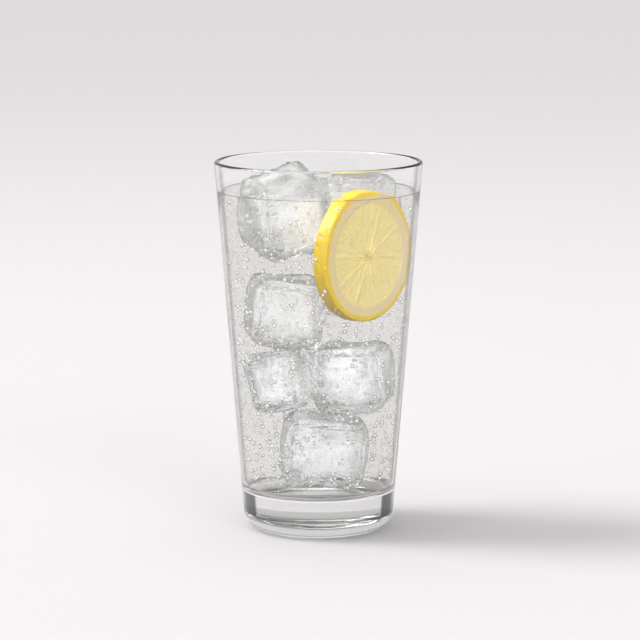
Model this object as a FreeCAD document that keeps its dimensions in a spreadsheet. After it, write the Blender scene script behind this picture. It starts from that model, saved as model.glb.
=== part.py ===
import FreeCAD, Part
import math
import os
import Sketcher

# A cone-sided tumbler of clear glass holding cold lemonade, a slice of lemon that stands on edge
# against the wall, and the two ice cubes that break the surface. Millimetres; +Z is up, the front
# is -Y and the origin is the middle of the foot.

doc = FreeCAD.newDocument("lemonade_glass")
sizes = doc.addObject("Spreadsheet::Sheet", "Sizes")

SIZES = {
    # the glass
    "height": 152,
    "rim_radius": 42.6,
    "foot_radius": 30.4,
    "wall_at_rim": 2.1,
    "wall_at_floor": 2.9,
    "floor_height": 16.6,
    "heel_round": 7.5,
    "bowl_round": 3,
    "punt_radius": 19,
    "punt_depth": 1.6,
    # the drink: how far its surface is under the rim
    "headspace": 12.5,
    # the slice, its face turned to the right, its top just out of the drink
    "slice_radius": 26.5,
    "slice_thick": 6.5,
    "slice_edge": 0.8,
    "slice_turn": 50,
    "slice_proud": 2,
    "slice_play": 0.5,
    # the ice at the left, tipped on a corner
    "left_wide": 31,
    "left_deep": 29,
    "left_tall": 32,
    "left_round": 6,
    "left_past_middle": 2.5,
    "left_forward": 3.5,
    "left_sunk": 8.5,
    # the ice at the right, behind the slice
    "right_wide": 27,
    "right_deep": 24,
    "right_tall": 28,
    "right_round": 5.5,
    "right_gap": 1.2,
    "right_along": 20,
    "right_proud": 5.5,
}
for row, (name, number) in enumerate(SIZES.items(), 1):
    sizes.set(f"A{row}", name)
    sizes.set(f"B{row}", str(number))
    sizes.setAlias(f"B{row}", name)
doc.recompute()

# The bore follows from the outside and the wall; the drink and the slice follow from the bore.
flare = "((Sizes.rim_radius - Sizes.foot_radius) / Sizes.height)"
boreRim = "(Sizes.rim_radius - Sizes.wall_at_rim)"
boreFloor = f"(Sizes.foot_radius + {flare} * Sizes.floor_height - Sizes.wall_at_floor)"
boreFlare = f"(({boreRim} - {boreFloor}) / (Sizes.height - Sizes.floor_height))"
level = "(Sizes.height - Sizes.headspace)"
boreLevel = f"({boreRim} - {boreFlare} * Sizes.headspace)"
sliceZ = f"({level} + Sizes.slice_proud - Sizes.slice_radius)"
boreSlice = f"({boreRim} - {boreFlare} * (Sizes.height - {sliceZ}))"
sliceChord = f"({boreSlice} ^ 2 * (1 - {boreFlare} ^ 2) - Sizes.slice_radius ^ 2)"
sliceFace = f"(sqrt({sliceChord}) - Sizes.slice_play)"
sliceOut = f"({sliceFace} - Sizes.slice_thick / 2)"
rightOut = f"({sliceFace} - Sizes.slice_thick - Sizes.right_gap - Sizes.right_deep / 2)"


def number(expression):
    return float(sizes.evalExpression(str(expression)))


def newBody(name):
    body = doc.addObject("PartDesign::Body", name)
    body.Label = name
    return body


def newSketch(body, name, role):
    sketch = body.newObject("Sketcher::SketchObject", name)
    plane = next(f for f in body.Origin.OriginFeatures if f.Role == role)
    sketch.AttachmentSupport = [(plane, "")]
    sketch.MapMode = "FlatFace"
    return sketch


def pin(sketch, edge, end, corner):
    """Hold one end of an edge at its two expressions, or on an axis where one is 0."""
    for kind, axis, expression in zip(("DistanceX", "DistanceY"), (-2, -1), corner):
        if expression == "0":
            sketch.addConstraint(Sketcher.Constraint("PointOnObject", edge, end, axis))
            continue
        value = number(expression)
        at = sketch.addConstraint(Sketcher.Constraint(kind, -1, 1, edge, end, value))
        sketch.setExpression(f"Constraints[{at}]", expression)


def drawProfile(body, name, corners, dish=None):
    """A closed half-section of straight lines; the edge from corner number dish to the next one is
    an arc centred on the axis instead."""
    sketch = newSketch(body, name, "XZ_Plane")
    spots = [FreeCAD.Vector(number(x), number(z), 0) for x, z in corners]
    for i, a in enumerate(spots):
        b = spots[(i + 1) % len(spots)]
        if i == dish:
            drop = (b.x ** 2 - a.y ** 2) / (2 * a.y)
            middle = FreeCAD.Vector(0, -drop, 0)
            circle = Part.Circle(middle, FreeCAD.Vector(0, 0, 1), drop + a.y)
            start = math.atan2(drop, b.x)
            sketch.addGeometry(Part.ArcOfCircle(circle, start, math.pi / 2), False)
            sketch.addConstraint(Sketcher.Constraint("PointOnObject", i, 3, -2))
        else:
            sketch.addGeometry(Part.LineSegment(a, b), False)
    for i, corner in enumerate(corners):
        before = (i - 1) % len(corners)
        here = 2 if i == dish else 1
        there = 1 if before == dish else 2
        sketch.addConstraint(Sketcher.Constraint("Coincident", before, there, i, here))
        pin(sketch, i, here, corner)
    return sketch


def revolve(body, name, sketch):
    turn = body.newObject("PartDesign::Revolution", name)
    turn.Profile = sketch
    turn.ReferenceAxis = (sketch, ["V_Axis"])
    turn.Angle = 360
    doc.recompute()
    return turn


def roundOff(body, name, base, chosen, expression):
    """Round the edges of base that chosen() picks."""
    edges = [f"Edge{i}" for i, e in enumerate(base.Shape.Edges, 1) if chosen(e)]
    rounding = body.newObject("PartDesign::Fillet", name)
    rounding.Base = (base, edges)
    rounding.setExpression("Radius", expression)
    doc.recompute()
    return rounding


def ringAt(radiusExpression, zExpression):
    """Picks the round edge of this radius at this height."""
    radius, z = number(radiusExpression), number(zExpression)

    def chosen(edge):
        if edge.Degenerated:
            return False
        curve = edge.Curve
        return (isinstance(curve, Part.Circle) and abs(curve.Radius - radius) < 1e-3
                and abs(curve.Center.z - z) < 1e-3)
    return chosen


def place(thing, x, y, z, rotation):
    thing.Placement = FreeCAD.Placement(FreeCAD.Vector(number(x), number(y), number(z)), rotation)
    for axis, expression in zip("xyz", (x, y, z)):
        thing.setExpression(f"Placement.Base.{axis}", expression)
    doc.recompute()


def iceBlock(name, prefix):
    """A cube of ice with melted-round edges, about its own middle."""
    body = newBody(name)
    sketch = newSketch(body, name + "_section", "XY_Plane")
    wide, deep = f"Sizes.{prefix}_wide / 2", f"Sizes.{prefix}_deep / 2"
    w, d = number(wide), number(deep)
    corners = [(-w, -d), (w, -d), (w, d), (-w, d)]
    for i in range(4):
        a, b = corners[i], corners[(i + 1) % 4]
        sketch.addGeometry(Part.LineSegment(FreeCAD.Vector(*a, 0), FreeCAD.Vector(*b, 0)), False)
    for i in range(4):
        sketch.addConstraint(Sketcher.Constraint("Coincident", i, 2, (i + 1) % 4, 1))
        kind = "Horizontal" if i % 2 == 0 else "Vertical"
        sketch.addConstraint(Sketcher.Constraint(kind, i))
    sketch.addConstraint(Sketcher.Constraint("Symmetric", 0, 1, 1, 2, -1, 1))
    for edge, kind, expression in ((0, "DistanceX", wide), (1, "DistanceY", deep)):
        span = Sketcher.Constraint(kind, edge, 1, edge, 2, number(expression) * 2)
        at = sketch.addConstraint(span)
        sketch.setExpression(f"Constraints[{at}]", expression + " * 2")
    pad = body.newObject("PartDesign::Pad", name + "_pad")
    pad.Profile = sketch
    pad.Midplane = True
    pad.setExpression("Length", f"Sizes.{prefix}_tall")
    doc.recompute()
    roundOff(body, name + "_melt", pad, lambda e: True, f"Sizes.{prefix}_round")
    return body


# The tumbler: a thick foot with a shallow punt under it, and a wall that thins toward the rim.
tumbler = newBody("tumbler")
rimZ, floorZ = "Sizes.height", "Sizes.floor_height"
section = drawProfile(tumbler, "tumbler_section", [
    ("0", "Sizes.punt_depth"),
    ("Sizes.punt_radius", "0"),
    ("Sizes.foot_radius", "0"),
    ("Sizes.rim_radius", rimZ),
    (boreRim, rimZ),
    (boreFloor, floorZ),
    ("0", floorZ),
], dish=0)
turned = revolve(tumbler, "tumbler_turned", section)
heel = roundOff(tumbler, "heel", turned, ringAt("Sizes.foot_radius", "0"), "Sizes.heel_round")
bowl = roundOff(tumbler, "bowl", heel, ringAt(boreFloor, floorZ), "Sizes.bowl_round")
outerLip, innerLip = ringAt("Sizes.rim_radius", rimZ), ringAt(boreRim, rimZ)
roundOff(tumbler, "lip", bowl, lambda e: outerLip(e) or innerLip(e), "Sizes.wall_at_rim * 0.46")

# The slice of lemon, standing on edge and close to the wall at both ends.
lemonSlice = newBody("lemon_slice")
sketch = newSketch(lemonSlice, "slice_round", "XZ_Plane")
sketch.addGeometry(Part.Circle(FreeCAD.Vector(0, 0, 0), FreeCAD.Vector(0, 0, 1), 26), False)
sketch.addConstraint(Sketcher.Constraint("Coincident", 0, 3, -1, 1))
at = sketch.addConstraint(Sketcher.Constraint("Radius", 0, number("Sizes.slice_radius")))
sketch.setExpression(f"Constraints[{at}]", "Sizes.slice_radius")
pad = lemonSlice.newObject("PartDesign::Pad", "slice_pad")
pad.Profile = sketch
pad.Midplane = True
pad.setExpression("Length", "Sizes.slice_thick")
doc.recompute()
roundOff(lemonSlice, "slice_edges", pad, lambda e: isinstance(e.Curve, Part.Circle),
         "Sizes.slice_edge")
place(lemonSlice, f"{sliceOut} * sin(Sizes.slice_turn)", f"-{sliceOut} * cos(Sizes.slice_turn)",
      sliceZ, FreeCAD.Rotation(FreeCAD.Vector(0, 0, 1), number("Sizes.slice_turn")))
lemonSlice.setExpression("Placement.Rotation.Angle", "Sizes.slice_turn")

# The two cubes that break the surface. The right one lies along the slice's back.
iceLeft = iceBlock("ice_left", "left")
place(iceLeft, "Sizes.left_past_middle - Sizes.left_wide / 2", "-Sizes.left_forward",
      f"{level} - Sizes.left_sunk", FreeCAD.Rotation(25, -14, 16))
iceRight = iceBlock("ice_right", "right")
along, turn = "Sizes.right_along", "Sizes.slice_turn"
place(iceRight, f"{rightOut} * sin({turn}) + {along} * cos({turn})",
      f"-{rightOut} * cos({turn}) + {along} * sin({turn})",
      f"{level} + Sizes.right_proud - Sizes.right_tall / 2",
      FreeCAD.Rotation(FreeCAD.Vector(0, 0, 1), number(turn)))
iceRight.setExpression("Placement.Rotation.Angle", turn)

# The drink fills the bore to its level, cut round the slice and the two cubes.
fill = newBody("fill")
section = drawProfile(fill, "fill_section", [
    ("0", floorZ),
    (boreFloor, floorZ),
    (boreLevel, level),
    ("0", level),
])
turned = revolve(fill, "fill_turned", section)
roundOff(fill, "fill_round", turned, ringAt(boreFloor, floorZ), "Sizes.bowl_round")
drink = fill
for solid in (lemonSlice, iceLeft, iceRight):
    cut = doc.addObject("Part::Cut", "drink_less_" + solid.Name)
    cut.Base = drink
    cut.Tool = solid
    drink = cut
drink.Label = "lemonade"
doc.recompute()

nodes = [tumbler, drink, lemonSlice, iceLeft, iceRight]
for thing in doc.Objects:
    bad = [s for s in thing.State if s in ("Invalid", "Error")]
    if bad:
        raise RuntimeError(f"{thing.Name} is {bad}")
for node in nodes:
    shape = node.Shape
    if shape.isNull() or not shape.isValid() or len(shape.Solids) != 1:
        raise RuntimeError(f"{node.Label} is not one valid solid")
    box = shape.BoundBox
    print(f"{node.Label}: {shape.Volume / 1000:.2f} cm3, x {box.XMin:.1f}..{box.XMax:.1f}, "
          f"y {box.YMin:.1f}..{box.YMax:.1f}, z {box.ZMin:.1f}..{box.ZMax:.1f}")

os.makedirs("parts", exist_ok=True)
for node in nodes:
    node.Shape.exportStep(f"parts/{node.Label}.step")
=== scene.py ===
import math
import random
import bmesh
import bpy
import numpy as np
from mathutils import Euler, Matrix, Vector, noise


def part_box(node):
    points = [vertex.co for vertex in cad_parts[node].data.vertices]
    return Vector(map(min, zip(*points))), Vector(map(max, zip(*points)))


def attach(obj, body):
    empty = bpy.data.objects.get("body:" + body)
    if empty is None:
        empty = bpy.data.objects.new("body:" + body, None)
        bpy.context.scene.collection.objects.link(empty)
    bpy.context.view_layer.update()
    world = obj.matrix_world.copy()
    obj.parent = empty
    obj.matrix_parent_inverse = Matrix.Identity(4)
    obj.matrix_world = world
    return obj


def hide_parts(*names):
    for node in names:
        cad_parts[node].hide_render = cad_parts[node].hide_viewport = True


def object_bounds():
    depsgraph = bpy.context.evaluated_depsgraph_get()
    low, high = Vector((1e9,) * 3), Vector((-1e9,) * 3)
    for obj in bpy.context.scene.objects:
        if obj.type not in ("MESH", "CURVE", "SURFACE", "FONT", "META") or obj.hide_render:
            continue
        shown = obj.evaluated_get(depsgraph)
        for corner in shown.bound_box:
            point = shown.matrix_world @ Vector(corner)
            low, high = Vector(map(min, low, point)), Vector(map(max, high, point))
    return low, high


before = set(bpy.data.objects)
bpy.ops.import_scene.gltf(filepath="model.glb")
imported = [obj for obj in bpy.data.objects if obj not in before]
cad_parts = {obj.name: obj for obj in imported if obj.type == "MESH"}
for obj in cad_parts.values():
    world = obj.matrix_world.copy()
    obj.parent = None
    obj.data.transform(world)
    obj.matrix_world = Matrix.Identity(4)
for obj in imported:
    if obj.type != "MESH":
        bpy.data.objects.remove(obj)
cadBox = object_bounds()
mm = 0.001
print("frame loaded")

# sizes that several pieces share, read from the frame
drinkLow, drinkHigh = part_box("lemonade")
level = drinkHigh[2]
boreFloor = drinkLow[2]
boreAtLevel = (drinkHigh[0] - drinkLow[0]) / 2


# how much the bore widens for each unit of height: from a ring of the drink's points
# in its lowest fifth up to the level
def readBoreFlare():
    spots = np.array([v.co[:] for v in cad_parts["lemonade"].data.vertices])
    wide = np.hypot(spots[:, 0], spots[:, 1])
    lowFifth = boreFloor + 0.2 * (level - boreFloor)
    sameHeight = 0.01 * mm
    lowZ = spots[spots[:, 2] < lowFifth, 2].max()
    lowRing = wide[np.abs(spots[:, 2] - lowZ) < sameHeight].max()
    return (boreAtLevel - lowRing) / (level - lowZ)


boreFlare = readBoreFlare()


def boreRadius(z):
    return boreAtLevel - boreFlare * (level - z)


def newMaterial(name):
    material = bpy.data.materials.new(name)
    material.use_nodes = True
    material.node_tree.nodes.clear()
    return material, material.node_tree.nodes, material.node_tree.links


def addNode(nodes, kind, **settings):
    node = nodes.new(kind)
    for key, value in settings.items():
        setattr(node, key, value)
    return node


def setInputs(node, **values):
    for key, value in values.items():
        node.inputs[key.replace("_", " ")].default_value = value


def setStops(ramp, stops):
    while len(ramp.elements) < len(stops):
        ramp.elements.new(0.5)
    for element, (at, color) in zip(ramp.elements, stops):
        element.position = at
        element.color = (*color, 1)


# a colour ramp read along one socket
def shadeAlong(nodes, links, source, stops):
    ramp = addNode(nodes, "ShaderNodeValToRGB")
    setStops(ramp.color_ramp, stops)
    links.new(source, ramp.inputs["Fac"])
    return ramp.outputs["Color"]


# blends two colours, each a socket or a plain colour
def mixColors(nodes, links, share, first, second):
    mix = addNode(nodes, "ShaderNodeMix", data_type="RGBA")
    links.new(share, mix.inputs["Factor"])
    for socket, color in zip([s for s in mix.inputs if s.type == "RGBA"], (first, second)):
        if isinstance(color, tuple):
            socket.default_value = (*color, 1)
        else:
            links.new(color, socket)
    return [s for s in mix.outputs if s.type == "RGBA"][0]


# a sum of two values, each a socket or a plain number
def math2(nodes, links, operation, first, second):
    node = addNode(nodes, "ShaderNodeMath", operation=operation)
    for socket, value in zip(node.inputs, (first, second)):
        if isinstance(value, (int, float)):
            socket.default_value = value
        else:
            links.new(value, socket)
    return node.outputs["Value"]


# see-through shader for wet things: bends the view, but lets a lamp's light
# straight through, dimmed by lampTint at each side
def wetShader(nodes, links, ior, tint, lampTint, shade, normal=None):
    shader = addNode(nodes, "ShaderNodeBsdfPrincipled")
    setInputs(shader, Base_Color=(*tint, 1), Roughness=0, IOR=ior, Transmission_Weight=1)
    links.new(shade, shader.inputs["Base Color"])
    if normal is not None:
        links.new(normal, shader.inputs["Normal"])
    path = addNode(nodes, "ShaderNodeLightPath")
    clear = addNode(nodes, "ShaderNodeBsdfTransparent")
    setInputs(clear, Color=(*lampTint, 1))
    either = addNode(nodes, "ShaderNodeMixShader")
    out = addNode(nodes, "ShaderNodeOutputMaterial")
    links.new(path.outputs["Is Shadow Ray"], either.inputs["Fac"])
    links.new(shader.outputs["BSDF"], either.inputs[1])
    links.new(clear.outputs["BSDF"], either.inputs[2])
    links.new(either.outputs["Shader"], out.inputs["Surface"])
    return shader


def addMesh(name, verts, faces, material, smooth=True):
    mesh = bpy.data.meshes.new(name)
    mesh.from_pydata([tuple(v) for v in verts], [], [tuple(f) for f in faces])
    mesh.materials.append(material)
    mesh.polygons.foreach_set("use_smooth", [smooth] * len(mesh.polygons))
    mesh.update()
    piece = bpy.data.objects.new(name, mesh)
    bpy.context.scene.collection.objects.link(piece)
    return piece


# turn an outline of (radius, z) about the Z axis; its two ends lie on the axis
def lathe(name, outline, steps, material):
    verts = [(0, 0, outline[0][1])]
    ring = [(math.cos(a), math.sin(a)) for a in np.linspace(0, math.tau, steps, endpoint=False)]
    for radius, z in outline[1:-1]:
        verts += [(radius * c, radius * s, z) for c, s in ring]
    verts.append((0, 0, outline[-1][1]))
    last = len(verts) - 1
    faces = []
    for i in range(steps):
        j = (i + 1) % steps
        faces.append((0, 1 + j, 1 + i))
        for row in range(len(outline) - 3):
            a = 1 + row * steps
            faces.append((a + i, a + j, a + steps + j, a + steps + i))
        faces.append((last, last - steps + i, last - steps + j))
    return addMesh(name, verts, faces, material)


glassLook = {
    "ior": 1.5,
    "tint": (0.998, 1.0, 0.998),
    "lampTint": (0.74, 0.745, 0.74),
    "waveCount": 55,                # waves in the wall, per metre
    "waveStrength": 0.02,
    "waveHeight": 2 * mm,
    "wallPaintedBands": [                  # painted dark bands on the wall, from face on to edge on
        (0.0, (0.985, 0.99, 0.985)),
        (0.60, (0.97, 0.975, 0.97)),
        (0.68, (0.20, 0.21, 0.20)),
        (0.75, (0.66, 0.67, 0.66)),
        (0.96, (0.66, 0.67, 0.66)),
        (1.0, (0.20, 0.21, 0.20)),
    ],
    "basePaintedBands": [                  # and on the thick base, which is also painted a darker grey all over
        (0.0, (0.66, 0.665, 0.66)),
        (0.45, (0.66, 0.665, 0.66)),
        (0.49, (0.022, 0.026, 0.022)),
        (0.72, (0.012, 0.015, 0.012)),
        (0.80, (0.12, 0.13, 0.12)),
        (1.0, (0.20, 0.21, 0.20)),
    ],
    "baseFrom": 7.5 * mm,           # heights between which those painted bands show
    "baseTo": 16.4 * mm,
    "wallFrom": 21 * mm,            # and where the wall's begin, above the floor of the bore
}


def clearGlass():
    material, nodes, links = newMaterial("clear tumbler glass")
    place = addNode(nodes, "ShaderNodeTexCoord")
    waves = addNode(nodes, "ShaderNodeTexNoise")
    setInputs(waves, Scale=glassLook["waveCount"], Detail=1)
    bump = addNode(nodes, "ShaderNodeBump")
    setInputs(bump, Strength=glassLook["waveStrength"], Distance=glassLook["waveHeight"])
    links.new(place.outputs["Object"], waves.inputs["Vector"])
    links.new(waves.outputs["Fac"], bump.inputs["Height"])
    # dark bands painted by the angle of view: painted shade in place of the dark surroundings seen through
    # the glass
    facing = addNode(nodes, "ShaderNodeLayerWeight")
    setInputs(facing, Blend=0.5)
    wallPaintedBands = shadeAlong(nodes, links, facing.outputs["Facing"], glassLook["wallPaintedBands"])
    basePaintedBands = shadeAlong(nodes, links, facing.outputs["Facing"], glassLook["basePaintedBands"])
    split = addNode(nodes, "ShaderNodeSeparateXYZ")
    links.new(place.outputs["Object"], split.inputs["Vector"])
    above = math2(nodes, links, "GREATER_THAN", split.outputs["Z"], glassLook["baseFrom"])
    below = math2(nodes, links, "LESS_THAN", split.outputs["Z"], glassLook["baseTo"])
    inBase = math2(nodes, links, "MULTIPLY", above, below)
    onWall = math2(nodes, links, "GREATER_THAN", split.outputs["Z"], glassLook["wallFrom"])
    lowPaintedBands = mixColors(nodes, links, inBase, glassLook["tint"], basePaintedBands)
    edges = mixColors(nodes, links, onWall, lowPaintedBands, wallPaintedBands)
    # only the outer side carries the painted bands, and only for what looks in from outside
    outward = addNode(nodes, "ShaderNodeVectorMath", operation="DOT_PRODUCT")
    links.new(place.outputs["Normal"], outward.inputs[0])
    links.new(place.outputs["Object"], outward.inputs[1])
    outer = math2(nodes, links, "GREATER_THAN", outward.outputs["Value"], 0)
    side = addNode(nodes, "ShaderNodeNewGeometry")
    entering = math2(nodes, links, "SUBTRACT", outer, side.outputs["Backfacing"])
    shade = mixColors(nodes, links, entering, glassLook["tint"], edges)
    wetShader(nodes, links, glassLook["ior"], glassLook["tint"], glassLook["lampTint"],
              shade, bump.outputs["Normal"])
    return material


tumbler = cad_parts["tumbler"]
tumbler.data.materials.clear()
tumbler.data.materials.append(clearGlass())
print("glass finished")


drink = {
    "lap": 0.35 * mm,               # how far it reaches into the wall and the floor of the glass
    "bowlRound": 3 * mm,            # rounding of the bore above its floor
    "climb": 0.8 * mm,              # how high it creeps up the wall
    "creep": 1.2 * mm,              # and how fast that falls off away from the wall
    "paintedLevelLine": (0.34, 0.34, 0.33),     # painted dark shade on that edge, in place of the dark line a meniscus shows
    "paintedLineFrom": 0.4 * mm,           # how far above the level it starts
    "floorTint": (0.97, 0.97, 0.965),
    "floorTo": 1.2 * mm,            # how far up from the floor that goes
    "ior": 1.05,
    "tint": (0.835, 0.83, 0.815),
    "lampTint": (0.82, 0.82, 0.81),
    "steps": 192,                   # points around it, in its rounding and up its side
    "bendSteps": 10,
    "sideSteps": 12,
}


def drinkOutline():
    lap, bend = drink["lap"], drink["bowlRound"]
    lean = math.atan(boreFlare)
    middleZ = boreFloor + bend
    middleR = boreRadius(middleZ) - bend / math.cos(lean)
    outline = [(0, boreFloor - lap)]
    for turn in np.linspace(-math.pi / 2, -lean, drink["bendSteps"]):
        outline.append((middleR + (bend + lap) * math.cos(turn), middleZ + (bend + lap) * math.sin(turn)))
    for z in np.linspace(outline[-1][1], level + drink["climb"], drink["sideSteps"])[1:]:
        outline.append((boreRadius(z) + lap, z))
    # the surface, from the wall to the middle, closest together where it curves
    for away in (0.3, 0.7, 1.2, 1.8, 2.6, 3.6, 5, 8, 14, 24):
        rise = drink["climb"] * math.exp(-away * mm / drink["creep"])
        outline.append((boreRadius(level) - away * mm, level + rise))
    outline.append((0, level))
    return outline


def liquidLook():
    material, nodes, links = newMaterial("clear lemonade")
    place = addNode(nodes, "ShaderNodeTexCoord")
    split = addNode(nodes, "ShaderNodeSeparateXYZ")
    links.new(place.outputs["Object"], split.inputs["Vector"])
    atFloor = math2(nodes, links, "LESS_THAN", split.outputs["Z"], boreFloor + drink["floorTo"])
    # a painted dark line where the drink creeps up the wall: painted shade
    inPaintedLine = math2(nodes, links, "GREATER_THAN", split.outputs["Z"], level + drink["paintedLineFrom"])
    body = mixColors(nodes, links, atFloor, drink["tint"], drink["floorTint"])
    shade = mixColors(nodes, links, inPaintedLine, body, drink["paintedLevelLine"])
    wetShader(nodes, links, drink["ior"], drink["tint"], drink["lampTint"], shade)
    return material


lemonade = lathe("lemonade_liquid", drinkOutline(), drink["steps"], liquidLook())
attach(lemonade, "root")
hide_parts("lemonade")
print("drink poured")


ice = {
    "ior": 1.28,
    "shade": [                      # from face on to edge on: the ice's own bluish white face on, then painted shade, dark towards edge on
        (0.0, (0.985, 0.993, 1.0)),
        (0.35, (0.97, 0.98, 0.985)),
        (0.62, (0.62, 0.635, 0.625)),
        (0.88, (0.22, 0.235, 0.225)),
        (1.0, (0.07, 0.08, 0.075)),
    ],
    "lampTint": (0.92, 0.925, 0.925),
    "cuts": 52,                     # how finely each side of a cube is divided
    "lump": 1.5 * mm,               # slow unevenness of the melted faces
    "lumpSize": 15 * mm,
    "ridge": 1.5 * mm,              # ridges that run along the round edges
    "ridgeCount": 10,
    "ridgeSize": 9 * mm,
    "pit": 0.75 * mm,               # fine pits between them
    "pitSize": 2.0 * mm,
    "flatShare": 0.06,              # how much of ridges and pits the flat faces have
    "cloud": 0.95,                  # how milky the flat faces are
    "cloudSize": 8 * mm,
    "cloudAboveLevel": 0.65,               # how much of that is left above the level, a painted shade that holds down the lamp-lit tops
    "aboveLevelFade": 2 * mm,              # fading from this far below the level to as far above
    "rippleCount": 420,             # fine ripples and milky specks, per metre
    "rippleStrength": 0.3,
    "rippleHeight": 1 * mm,
    "speckCount": 700,
}

# name, middle (or the CAD node it stands on), size, rounding and turn of each cube,
# in millimetres and degrees
iceCubes = [
    ("ice_left", "ice_left", (31, 29, 32), 6, (16, -14, 25)),
    ("ice_right", "ice_right", (27, 24, 28), 5.5, (0, 0, 50)),
    ("ice_upper_left", (-12.9, -8, 91.6), (29.3, 26, 27.8), 6, (8, 8, 14)),
    ("ice_lower_left", (-15.5, -5, 62.2), (22, 22, 24), 5, (-6, -14, -20)),
    ("ice_lower_right", (13.2, -6, 64.3), (29.8, 26, 27.2), 6, (5, -5, -14)),
    ("ice_bottom", (2, -6, 33.5), (33, 25, 29), 6.5, (6, 7, 8)),
    ("ice_behind", (10, 17, 97), (22, 21, 22), 5, (-7, 9, 16)),
    ("ice_low_behind", (-1, 17, 42), (24, 15, 22), 5, (5, -8, 8)),
    ("ice_back_left", (-10, 17, 64.5), (17, 14, 18), 4, (6, 5, 10)),
    ("ice_back_right", (10.5, 17, 65), (17, 14, 18), 4, (-5, 7, -9)),
]


# a cube's skin as a grid that is finer near its edges
def cubeGrid(cuts):
    grid = bmesh.new()
    bmesh.ops.create_cube(grid, size=2)
    bmesh.ops.subdivide_edges(grid, edges=grid.edges[:], cuts=cuts, use_grid_fill=True)
    grid.verts.ensure_lookup_table()
    verts = np.sin(np.array([v.co[:] for v in grid.verts]) * math.pi / 2)
    faces = [[v.index for v in f.verts] for f in grid.faces]
    grid.free()
    return verts, faces


gridVerts, gridFaces = cubeGrid(ice["cuts"])


def smoothStep(low, high, value):
    part = np.clip((value - low) / (high - low), 0, 1)
    return part * part * (3 - 2 * part)


# a melted block about its own middle, and how milky each of its points is
def meltedBlock(size, roundness, seed):
    half = np.array(size) / 2 * mm
    bend = roundness * mm
    flat = gridVerts * half
    core = np.clip(flat, -(half - bend), half - bend)
    away = flat - core
    normals = away / np.linalg.norm(away, axis=1)[:, None]
    verts = core + normals * bend
    edginess = smoothStep(0.02, 0.16, 1 - np.abs(normals).max(axis=1))   # 0 on a flat face
    inward = np.sort(half - np.abs(flat), axis=1)[:, 1]      # way to the nearest edge of its face
    shift = Vector((seed * 7.3, seed * 3.1, seed * 5.7))     # gives each cube its own noise
    moved = []
    cloudy = smoothStep(0.75 * bend, 1.5 * bend, inward)
    for i, (spot, normal) in enumerate(zip(verts, normals)):
        p, n = Vector(spot), Vector(normal)
        slow = noise.noise(p / ice["lumpSize"] + shift) * ice["lump"]
        ridge = noise.noise(n * ice["ridgeCount"] + p / ice["ridgeSize"] + shift)
        pit = noise.noise(p / ice["pitSize"] + shift)
        depth = ice["flatShare"] + (1 - ice["flatShare"]) * edginess[i]
        moved.append(p + n * (slow - depth * (abs(ridge) * 2 * ice["ridge"] + pit * ice["pit"])))
        cloudy[i] *= 0.55 + 0.6 * noise.noise(p / ice["cloudSize"] + shift * 2)
    return moved, np.clip(cloudy, 0, 1)


def iceLook():
    material, nodes, links = newMaterial("wet cloudy ice")
    place = addNode(nodes, "ShaderNodeTexCoord")
    ripples = addNode(nodes, "ShaderNodeTexNoise")
    setInputs(ripples, Scale=ice["rippleCount"], Detail=3)
    bump = addNode(nodes, "ShaderNodeBump")
    setInputs(bump, Strength=ice["rippleStrength"], Distance=ice["rippleHeight"])
    links.new(place.outputs["Object"], ripples.inputs["Vector"])
    links.new(ripples.outputs["Fac"], bump.inputs["Height"])
    facing = addNode(nodes, "ShaderNodeLayerWeight")
    setInputs(facing, Blend=0.5)
    links.new(bump.outputs["Normal"], facing.inputs["Normal"])
    # painted shade: the ice goes dark towards edge on, in place of the dark surroundings it would mirror
    shade = shadeAlong(nodes, links, facing.outputs["Facing"], ice["shade"])
    shader = wetShader(nodes, links, ice["ior"], (1, 1, 1), ice["lampTint"],
                       shade, bump.outputs["Normal"])
    milk = addNode(nodes, "ShaderNodeAttribute", attribute_name="cloudy")
    specks = addNode(nodes, "ShaderNodeTexNoise")
    setInputs(specks, Scale=ice["speckCount"], Detail=2)
    links.new(place.outputs["Object"], specks.inputs["Vector"])
    grain = math2(nodes, links, "ADD", specks.outputs["Fac"], 0.5)
    amount = math2(nodes, links, "MULTIPLY", milk.outputs["Fac"], grain)
    milky = math2(nodes, links, "MULTIPLY", amount, ice["cloud"])
    clearness = math2(nodes, links, "SUBTRACT", 1, milky)
    links.new(clearness, shader.inputs["Transmission Weight"])
    return material


iceMaterial = iceLook()
for number, (name, at, size, roundness, angles) in enumerate(iceCubes, 1):
    onNode = isinstance(at, str)
    if onNode:
        low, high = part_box(at)
        middle = (Vector(low) + Vector(high)) / 2
    else:
        middle = Vector(at) * mm
    turn = Euler([math.radians(a) for a in angles], "XYZ").to_matrix().to_4x4()
    verts, cloudy = meltedBlock(size, roundness, number)
    block = addMesh(name + "_cube", verts, gridFaces, iceMaterial)
    stand = Matrix.Translation(middle) @ turn
    block.matrix_world = stand
    # less milky above the level: painted shade that keeps the lamp-lit tops from burning out white
    heights = np.array([(stand @ spot).z for spot in verts])
    aboveLevel = smoothStep(level - ice["aboveLevelFade"], level + ice["aboveLevelFade"], heights)
    cloudy *= 1 - (1 - ice["cloudAboveLevel"]) * aboveLevel
    block.data.attributes.new("cloudy", "FLOAT", "POINT").data.foreach_set("value", cloudy)
    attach(block, "root")
    if onNode:
        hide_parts(at)
print("ice in")


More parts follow.
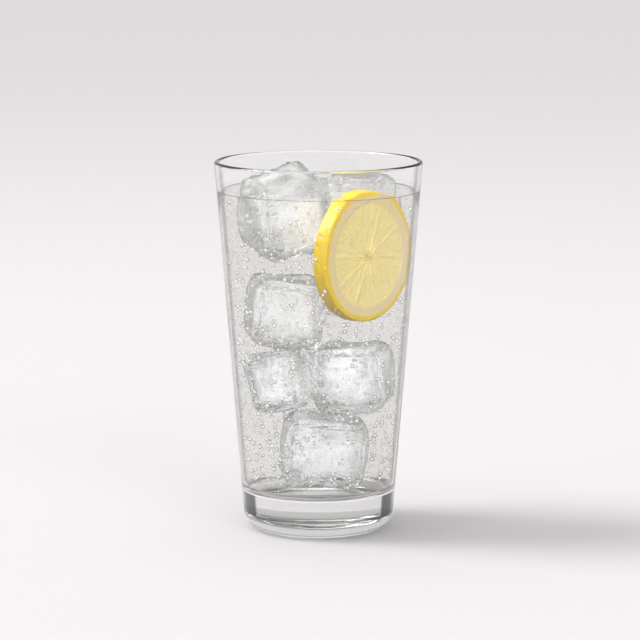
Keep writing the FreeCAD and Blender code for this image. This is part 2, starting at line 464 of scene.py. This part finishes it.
lemon = {
    "radius": 26.5,                 # millimetres, as all lengths here
    "thick": 6.5,
    "edge": 0.8,                    # rounding of the rim
    "turn": 50,                     # degrees its face is turned to the right
    "rind": 2.1,                    # thickness of the yellow skin
    "pith": 3.9,
    "segments": 10,
    "spokes": 300,                  # points around it, across a face, round an edge and over the rim
    "faceRings": 52,
    "edgeRings": 5,
    "rimRings": 14,
    "hub": 0.6,                     # radius of the innermost ring
    "skin": 0.9,                    # how deep from the rim its pores and its unevenness go
    "pore": 0.22,
    "sink": 0.1,
    "wobble": 0.25,
    "wedge": 0.25,                  # relief of the segments, and of the pulp in them
    "pulp": 0.2,
    "streakCount": 26,
    "poreCount": 750,               # finest pores and grain, per metre
    "poreStrength": 0.55,
    "poreHeight": 0.7,
    "rindColor": (0.90, 0.61, 0.014),
    "pithColor": (0.86, 0.69, 0.36),
    "fleshColor": (1.0, 0.82, 0.36),
    "fleshDark": (0.84, 0.60, 0.14),
    "coreColor": (0.76, 0.58, 0.24),
}


# radius and depth of each ring of points, from the middle of one face round to the other
def sliceRings():
    radius, side, edge = lemon["radius"], lemon["thick"] / 2, lemon["edge"]
    inner = radius - edge
    rows = [(r, -side) for r in np.linspace(lemon["hub"], inner, lemon["faceRings"])]
    bend = np.linspace(0, math.pi / 2, lemon["edgeRings"])[1:]
    rows += [(inner + edge * math.sin(a), -side + edge - edge * math.cos(a)) for a in bend]
    rows += [(radius, y) for y in np.linspace(edge - side, side - edge, lemon["rimRings"])[1:]]
    rows += [(inner + edge * math.cos(a), side - edge + edge * math.sin(a)) for a in bend]
    rows += [(r, side) for r in np.linspace(inner, lemon["hub"], lemon["faceRings"])[1:]]
    return rows


# a round slice about its own middle, its axis along Y, with a pored skin and pulp in relief
def sliceMesh():
    spokes = lemon["spokes"]
    flesh = lemon["radius"] - lemon["rind"] - lemon["pith"]
    side = lemon["thick"] / 2
    rows = sliceRings()
    verts = [(0, -side, 0)]
    for r, y in rows:
        out = -1 if y < 0 else 1
        for a in np.linspace(0, math.tau, spokes, endpoint=False):
            c, s = math.cos(a), math.sin(a)
            reach, deep = r, y
            if r > lemon["radius"] - lemon["skin"]:
                reach += lemon["pore"] * noise.noise(Vector((c * 17, y * 0.75, s * 17))) - lemon["sink"]
                reach += lemon["wobble"] * noise.noise(Vector((c * 2, 9, s * 2)))
            elif r < flesh:
                wedge = min(1, 3 * abs(math.sin(lemon["segments"] / 2 * a + 0.4)))
                grain = noise.noise(Vector((c * 9, out * 4 + r * 0.25, s * 9)))
                deep -= out * (lemon["wedge"] * wedge - lemon["pulp"] * grain)
            verts.append((reach * c, deep, reach * s))
    verts.append((0, side, 0))
    last = len(verts) - 1
    faces = []
    for i in range(spokes):
        j = (i + 1) % spokes
        faces.append((0, 1 + i, 1 + j))
        for row in range(len(rows) - 1):
            a = 1 + row * spokes
            faces.append((a + i, a + spokes + i, a + spokes + j, a + j))
        faces.append((last, last - spokes + j, last - spokes + i))
    return np.array(verts) * mm, faces


def lemonLook():
    material, nodes, links = newMaterial("lemon slice")
    place = addNode(nodes, "ShaderNodeTexCoord")
    split = addNode(nodes, "ShaderNodeSeparateXYZ")
    flat = addNode(nodes, "ShaderNodeCombineXYZ")
    reach = addNode(nodes, "ShaderNodeVectorMath", operation="LENGTH")
    links.new(place.outputs["Object"], split.inputs["Vector"])
    links.new(split.outputs["X"], flat.inputs["X"])
    links.new(split.outputs["Z"], flat.inputs["Z"])
    links.new(flat.outputs["Vector"], reach.inputs[0])
    part = math2(nodes, links, "DIVIDE", reach.outputs["Value"], lemon["radius"] * mm)
    skin = 1 - lemon["rind"] / lemon["radius"]
    pulpEnd = skin - lemon["pith"] / lemon["radius"]
    rings = shadeAlong(nodes, links, part, [
        (0.0, lemon["coreColor"]),
        (0.05, lemon["coreColor"]),
        (0.12, lemon["fleshColor"]),
        (pulpEnd - 0.03, lemon["fleshColor"]),
        (pulpEnd + 0.02, lemon["pithColor"]),
        (skin - 0.02, lemon["pithColor"]),
        (skin + 0.01, lemon["rindColor"]),
        (1.0, lemon["rindColor"]),
    ])
    # streaks that run out from the middle
    spoke = addNode(nodes, "ShaderNodeVectorMath", operation="NORMALIZE")
    links.new(flat.outputs["Vector"], spoke.inputs[0])
    streaks = addNode(nodes, "ShaderNodeTexNoise")
    setInputs(streaks, Scale=lemon["streakCount"], Detail=3)
    blend = addNode(nodes, "ShaderNodeVectorMath", operation="MULTIPLY_ADD")
    blend.inputs[1].default_value = (20, 20, 20)
    links.new(place.outputs["Object"], blend.inputs[0])
    links.new(spoke.outputs["Vector"], blend.inputs[2])
    links.new(blend.outputs["Vector"], streaks.inputs["Vector"])
    dark = addNode(nodes, "ShaderNodeMapRange")
    setInputs(dark, From_Min=0.5, From_Max=0.75, To_Min=0, To_Max=0.8)
    links.new(streaks.outputs["Fac"], dark.inputs["Value"])
    inPulp = math2(nodes, links, "LESS_THAN", part, pulpEnd - 0.01)
    share = math2(nodes, links, "MULTIPLY", dark.outputs["Result"], inPulp)
    color = mixColors(nodes, links, share, rings, lemon["fleshDark"])
    # pores in the skin, fine grain in the pulp
    pores = addNode(nodes, "ShaderNodeTexNoise")
    setInputs(pores, Scale=lemon["poreCount"], Detail=2)
    links.new(place.outputs["Object"], pores.inputs["Vector"])
    relief = addNode(nodes, "ShaderNodeBump")
    setInputs(relief, Strength=lemon["poreStrength"], Distance=lemon["poreHeight"] * mm)
    links.new(pores.outputs["Fac"], relief.inputs["Height"])
    shader = addNode(nodes, "ShaderNodeBsdfPrincipled")
    setInputs(shader, Roughness=0.35, Subsurface_Weight=0.25, Subsurface_Scale=0.6,
              Subsurface_Radius=(4 * mm, 3 * mm, 1 * mm))
    links.new(relief.outputs["Normal"], shader.inputs["Normal"])
    links.new(color, shader.inputs["Base Color"])
    out = addNode(nodes, "ShaderNodeOutputMaterial")
    links.new(shader.outputs["BSDF"], out.inputs["Surface"])
    return material


sliceLow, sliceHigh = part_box("lemon_slice")
sliceMiddle = (Vector(sliceLow) + Vector(sliceHigh)) / 2
verts, faces = sliceMesh()
lemonSlice = addMesh("lemon_slice_cut", verts, faces, lemonLook())
sliceTurn = math.radians(lemon["turn"])
lemonSlice.matrix_world = Matrix.Translation(sliceMiddle) @ Matrix.Rotation(sliceTurn, 4, "Z")
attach(lemonSlice, "root")
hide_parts("lemon_slice")
print("slice in")


bubbles = {
    "onWall": 2400,                 # draws of each kind; those before the slice are left out
    "inDrink": 2000,
    "fine": 7000,                   # specks near the wall, each a plainer ball
    "fineSmall": 0.12 * mm,         # radii
    "fineLarge": 0.34 * mm,
    "small": 0.18 * mm,
    "large": 1.0 * mm,
    "rarity": 2.3,                  # the higher, the fewer large ones
    "wallFrom": 6 * mm,             # where each kind starts above the floor
    "drinkFrom": 3 * mm,
    "fineFrom": 4 * mm,
    "topGap": 1.5 * mm,             # and all stop under the level
    "wallGap": 3 * mm,              # least way to the wall of those in the drink
    "fineDepth": 2.5 * mm,          # furthest from the wall that the specks lie
    "afloat": 1.02,                 # keeps a ball on the wall just off it
    "sliceGap": 1 * mm,
    "ior": 1.45,
    "lampTint": (0.99, 0.99, 0.99),
    "rim": [                        # painted shade from the middle of a bubble to its edge: a dark ring in place of the surroundings a bubble mirrors
        (0.0, (1, 1, 1)),
        (0.25, (1, 1, 1)),
        (0.40, (0.02, 0.022, 0.02)),
        (0.85, (0.03, 0.032, 0.03)),
        (1.0, (0.30, 0.31, 0.30)),
    ],
    "glint": [                      # how clear it is there; the middle is made milky so the lamps light it into a painted highlight
        (0.0, (0.5, 0.5, 0.5)),
        (0.15, (0.5, 0.5, 0.5)),
        (0.3, (1, 1, 1)),
    ],
    "seed": 11,
}


def bubbleLook():
    material, nodes, links = newMaterial("air bubble")
    facing = addNode(nodes, "ShaderNodeLayerWeight")
    setInputs(facing, Blend=0.5)
    # a painted dark ring and a painted highlight in the middle of each bubble
    rim = shadeAlong(nodes, links, facing.outputs["Facing"], bubbles["rim"])
    shader = wetShader(nodes, links, bubbles["ior"], (1, 1, 1), bubbles["lampTint"], rim)
    glint = shadeAlong(nodes, links, facing.outputs["Facing"], bubbles["glint"])
    links.new(glint, shader.inputs["Transmission Weight"])
    return material


# hollow balls of air: their faces look inward, into the air
def bubbleMesh(name, spots, material, fineness):
    ball = bmesh.new()
    bmesh.ops.create_icosphere(ball, subdivisions=fineness, radius=1)
    ball.verts.ensure_lookup_table()
    unit = np.array([v.co[:] for v in ball.verts])
    tris = np.array([[v.index for v in f.verts][::-1] for f in ball.faces])
    ball.free()
    verts = np.concatenate([np.array(at) + unit * r for at, r in spots])
    faces = np.concatenate([tris + i * len(unit) for i in range(len(spots))])
    return addMesh(name, verts, faces, material)


# true for a place between the front face of the slice and the glass
def beforeSlice(x, y, z):
    way = Vector((x, y, z)) - sliceMiddle
    ahead = way.x * -math.sin(sliceTurn) + way.y * math.cos(sliceTurn)
    across = math.hypot(way.x * math.cos(sliceTurn) + way.y * math.sin(sliceTurn), way.z)
    return ahead < 0 and across < lemon["radius"] * mm + bubbles["sliceGap"]


# middle and radius of each bubble, for the three kinds
def scatterBubbles():
    dice = random.Random(bubbles["seed"])
    spread = bubbles["large"] - bubbles["small"]

    def spotAbove(gap):
        return dice.uniform(boreFloor + gap, level - bubbles["topGap"]), dice.uniform(0, math.tau)

    def anySize():
        return bubbles["small"] + spread * dice.random() ** bubbles["rarity"]

    def ball(reach, a, z, r):
        return (reach * math.cos(a), reach * math.sin(a), z), r

    wall, inside, fine = [], [], []
    for _ in range(bubbles["onWall"]):
        z, a = spotAbove(bubbles["wallFrom"])
        r = anySize()
        wall.append(ball(boreRadius(z) - r * bubbles["afloat"], a, z, r))
    for _ in range(bubbles["inDrink"]):
        z, a = spotAbove(bubbles["drinkFrom"])
        r = anySize()
        reach = (boreRadius(z) - bubbles["wallGap"]) * math.sqrt(dice.random())
        inside.append(ball(reach, a, z, r))
    for _ in range(bubbles["fine"]):
        z, a = spotAbove(bubbles["fineFrom"])
        r = dice.uniform(bubbles["fineSmall"], bubbles["fineLarge"])
        inward = bubbles["fineDepth"] * dice.random() ** 2
        fine.append(ball(boreRadius(z) - r * bubbles["afloat"] - inward, a, z, r))
    return [[(at, r) for at, r in group if not beforeSlice(*at)] for group in (wall, inside, fine)]


airMaterial = bubbleLook()
pieces = zip(("bubbles_on_wall", "bubbles_in_drink", "bubbles_fine"), scatterBubbles(), (2, 2, 1))
for name, spots, fineness in pieces:
    air = bubbleMesh(name, spots, airMaterial, fineness)
    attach(air, "root")
print("bubbles in")


stage = {
    "floorSize": 40,                # metres
    "floorGap": 0.1 * mm,           # how far it lies under the foot
    "floorTone": (0.555, 0.537, 0.542),
    "sky": [                        # brightness of the room from the horizon to straight up
        (0.0, (0.95, 0.94, 0.945)),
        (0.30, (0.85, 0.84, 0.845)),
        (0.48, (0.33, 0.33, 0.33)),
        (1.0, (0.30, 0.30, 0.30)),
    ],
    "skyStrength": 0.72,
}


def floorLook():
    material, nodes, links = newMaterial("pale studio floor")
    shader = addNode(nodes, "ShaderNodeBsdfPrincipled")
    setInputs(shader, Base_Color=(*stage["floorTone"], 1), Roughness=0.9, Specular_IOR_Level=0.1)
    out = addNode(nodes, "ShaderNodeOutputMaterial")
    links.new(shader.outputs["BSDF"], out.inputs["Surface"])
    return material


half = stage["floorSize"] / 2
floor = addMesh("floor", [(-half, -half, 0), (half, -half, 0), (half, half, 0), (-half, half, 0)],
                [(0, 1, 2, 3)], floorLook(), smooth=False)
floor.location.z = cadBox[0][2] - stage["floorGap"]


def studioRoom():
    world = bpy.data.worlds.new("studio")
    bpy.context.scene.world = world
    world.use_nodes = True
    nodes, links = world.node_tree.nodes, world.node_tree.links
    sky = nodes["Background"]
    setInputs(sky, Strength=stage["skyStrength"])
    place = addNode(nodes, "ShaderNodeTexCoord")
    split = addNode(nodes, "ShaderNodeSeparateXYZ")
    links.new(place.outputs["Generated"], split.inputs["Vector"])
    links.new(shadeAlong(nodes, links, split.outputs["Z"], stage["sky"]), sky.inputs["Color"])


lamps = [
    {"name": "key", "kind": "SUN", "at": (-1.5, 0.15, 1.6), "power": 2.8, "angle": 24},
    {"name": "top", "kind": "AREA", "at": (-0.3, 0.1, 1.5), "power": 12.5, "size": 1.6},
    {"name": "fill", "kind": "SUN", "at": (0.7, -1.3, 0.5), "power": 3.3, "angle": 40, "soft": True},
    {"name": "left_fill", "kind": "SUN", "at": (-1.3, -0.8, 0.1), "power": 1.5, "angle": 40, "soft": True},
]


def addLamp(lamp):
    light = bpy.data.lights.new(lamp["name"], lamp["kind"])
    light.energy = lamp["power"]
    if lamp["kind"] == "AREA":
        light.shape = "SQUARE"
        light.size = lamp["size"]
    else:
        light.angle = math.radians(lamp["angle"])
    holder = bpy.data.objects.new(lamp["name"], light)
    holder.location = lamp["at"]
    holder.rotation_euler = (-Vector(lamp["at"])).to_track_quat("-Z", "Y").to_euler()
    if lamp.get("soft"):            # lifts the shadow side without a shadow or a mirror image
        light.use_shadow = False
        holder.visible_glossy = False
        holder.visible_transmission = False
    bpy.context.scene.collection.objects.link(holder)


studioRoom()
for lamp in lamps:
    addLamp(lamp)


view = {
    "away": 1149 * mm,
    "height": 272.5 * mm,
    "pitch": 9.21,
    "lens": 159.4,
    "aside": 0.6 * mm,
    "bounces": 64,                  # glass wants many, also of the glossy kind: fewer leave black arcs
    "clearBounces": 48,
    "diffuseBounces": 3,
}

camera = bpy.data.objects.new("camera", bpy.data.cameras.new("camera"))
camera.data.sensor_width = 36
camera.data.lens = view["lens"]
camera.data.clip_end = 100
camera.location = (view["aside"], -view["away"], view["height"])
camera.rotation_euler = (math.radians(90 - view["pitch"]), 0, 0)
bpy.context.scene.collection.objects.link(camera)
bpy.context.scene.camera = camera

scene = bpy.context.scene
scene.view_settings.view_transform = "Standard"
scene.cycles.max_bounces = view["bounces"]
scene.cycles.transmission_bounces = view["bounces"]
scene.cycles.glossy_bounces = view["bounces"]
scene.cycles.transparent_max_bounces = view["clearBounces"]
scene.cycles.diffuse_bounces = view["diffuseBounces"]
scene.cycles.caustics_refractive = False
scene.cycles.caustics_reflective = False
print("stage set")
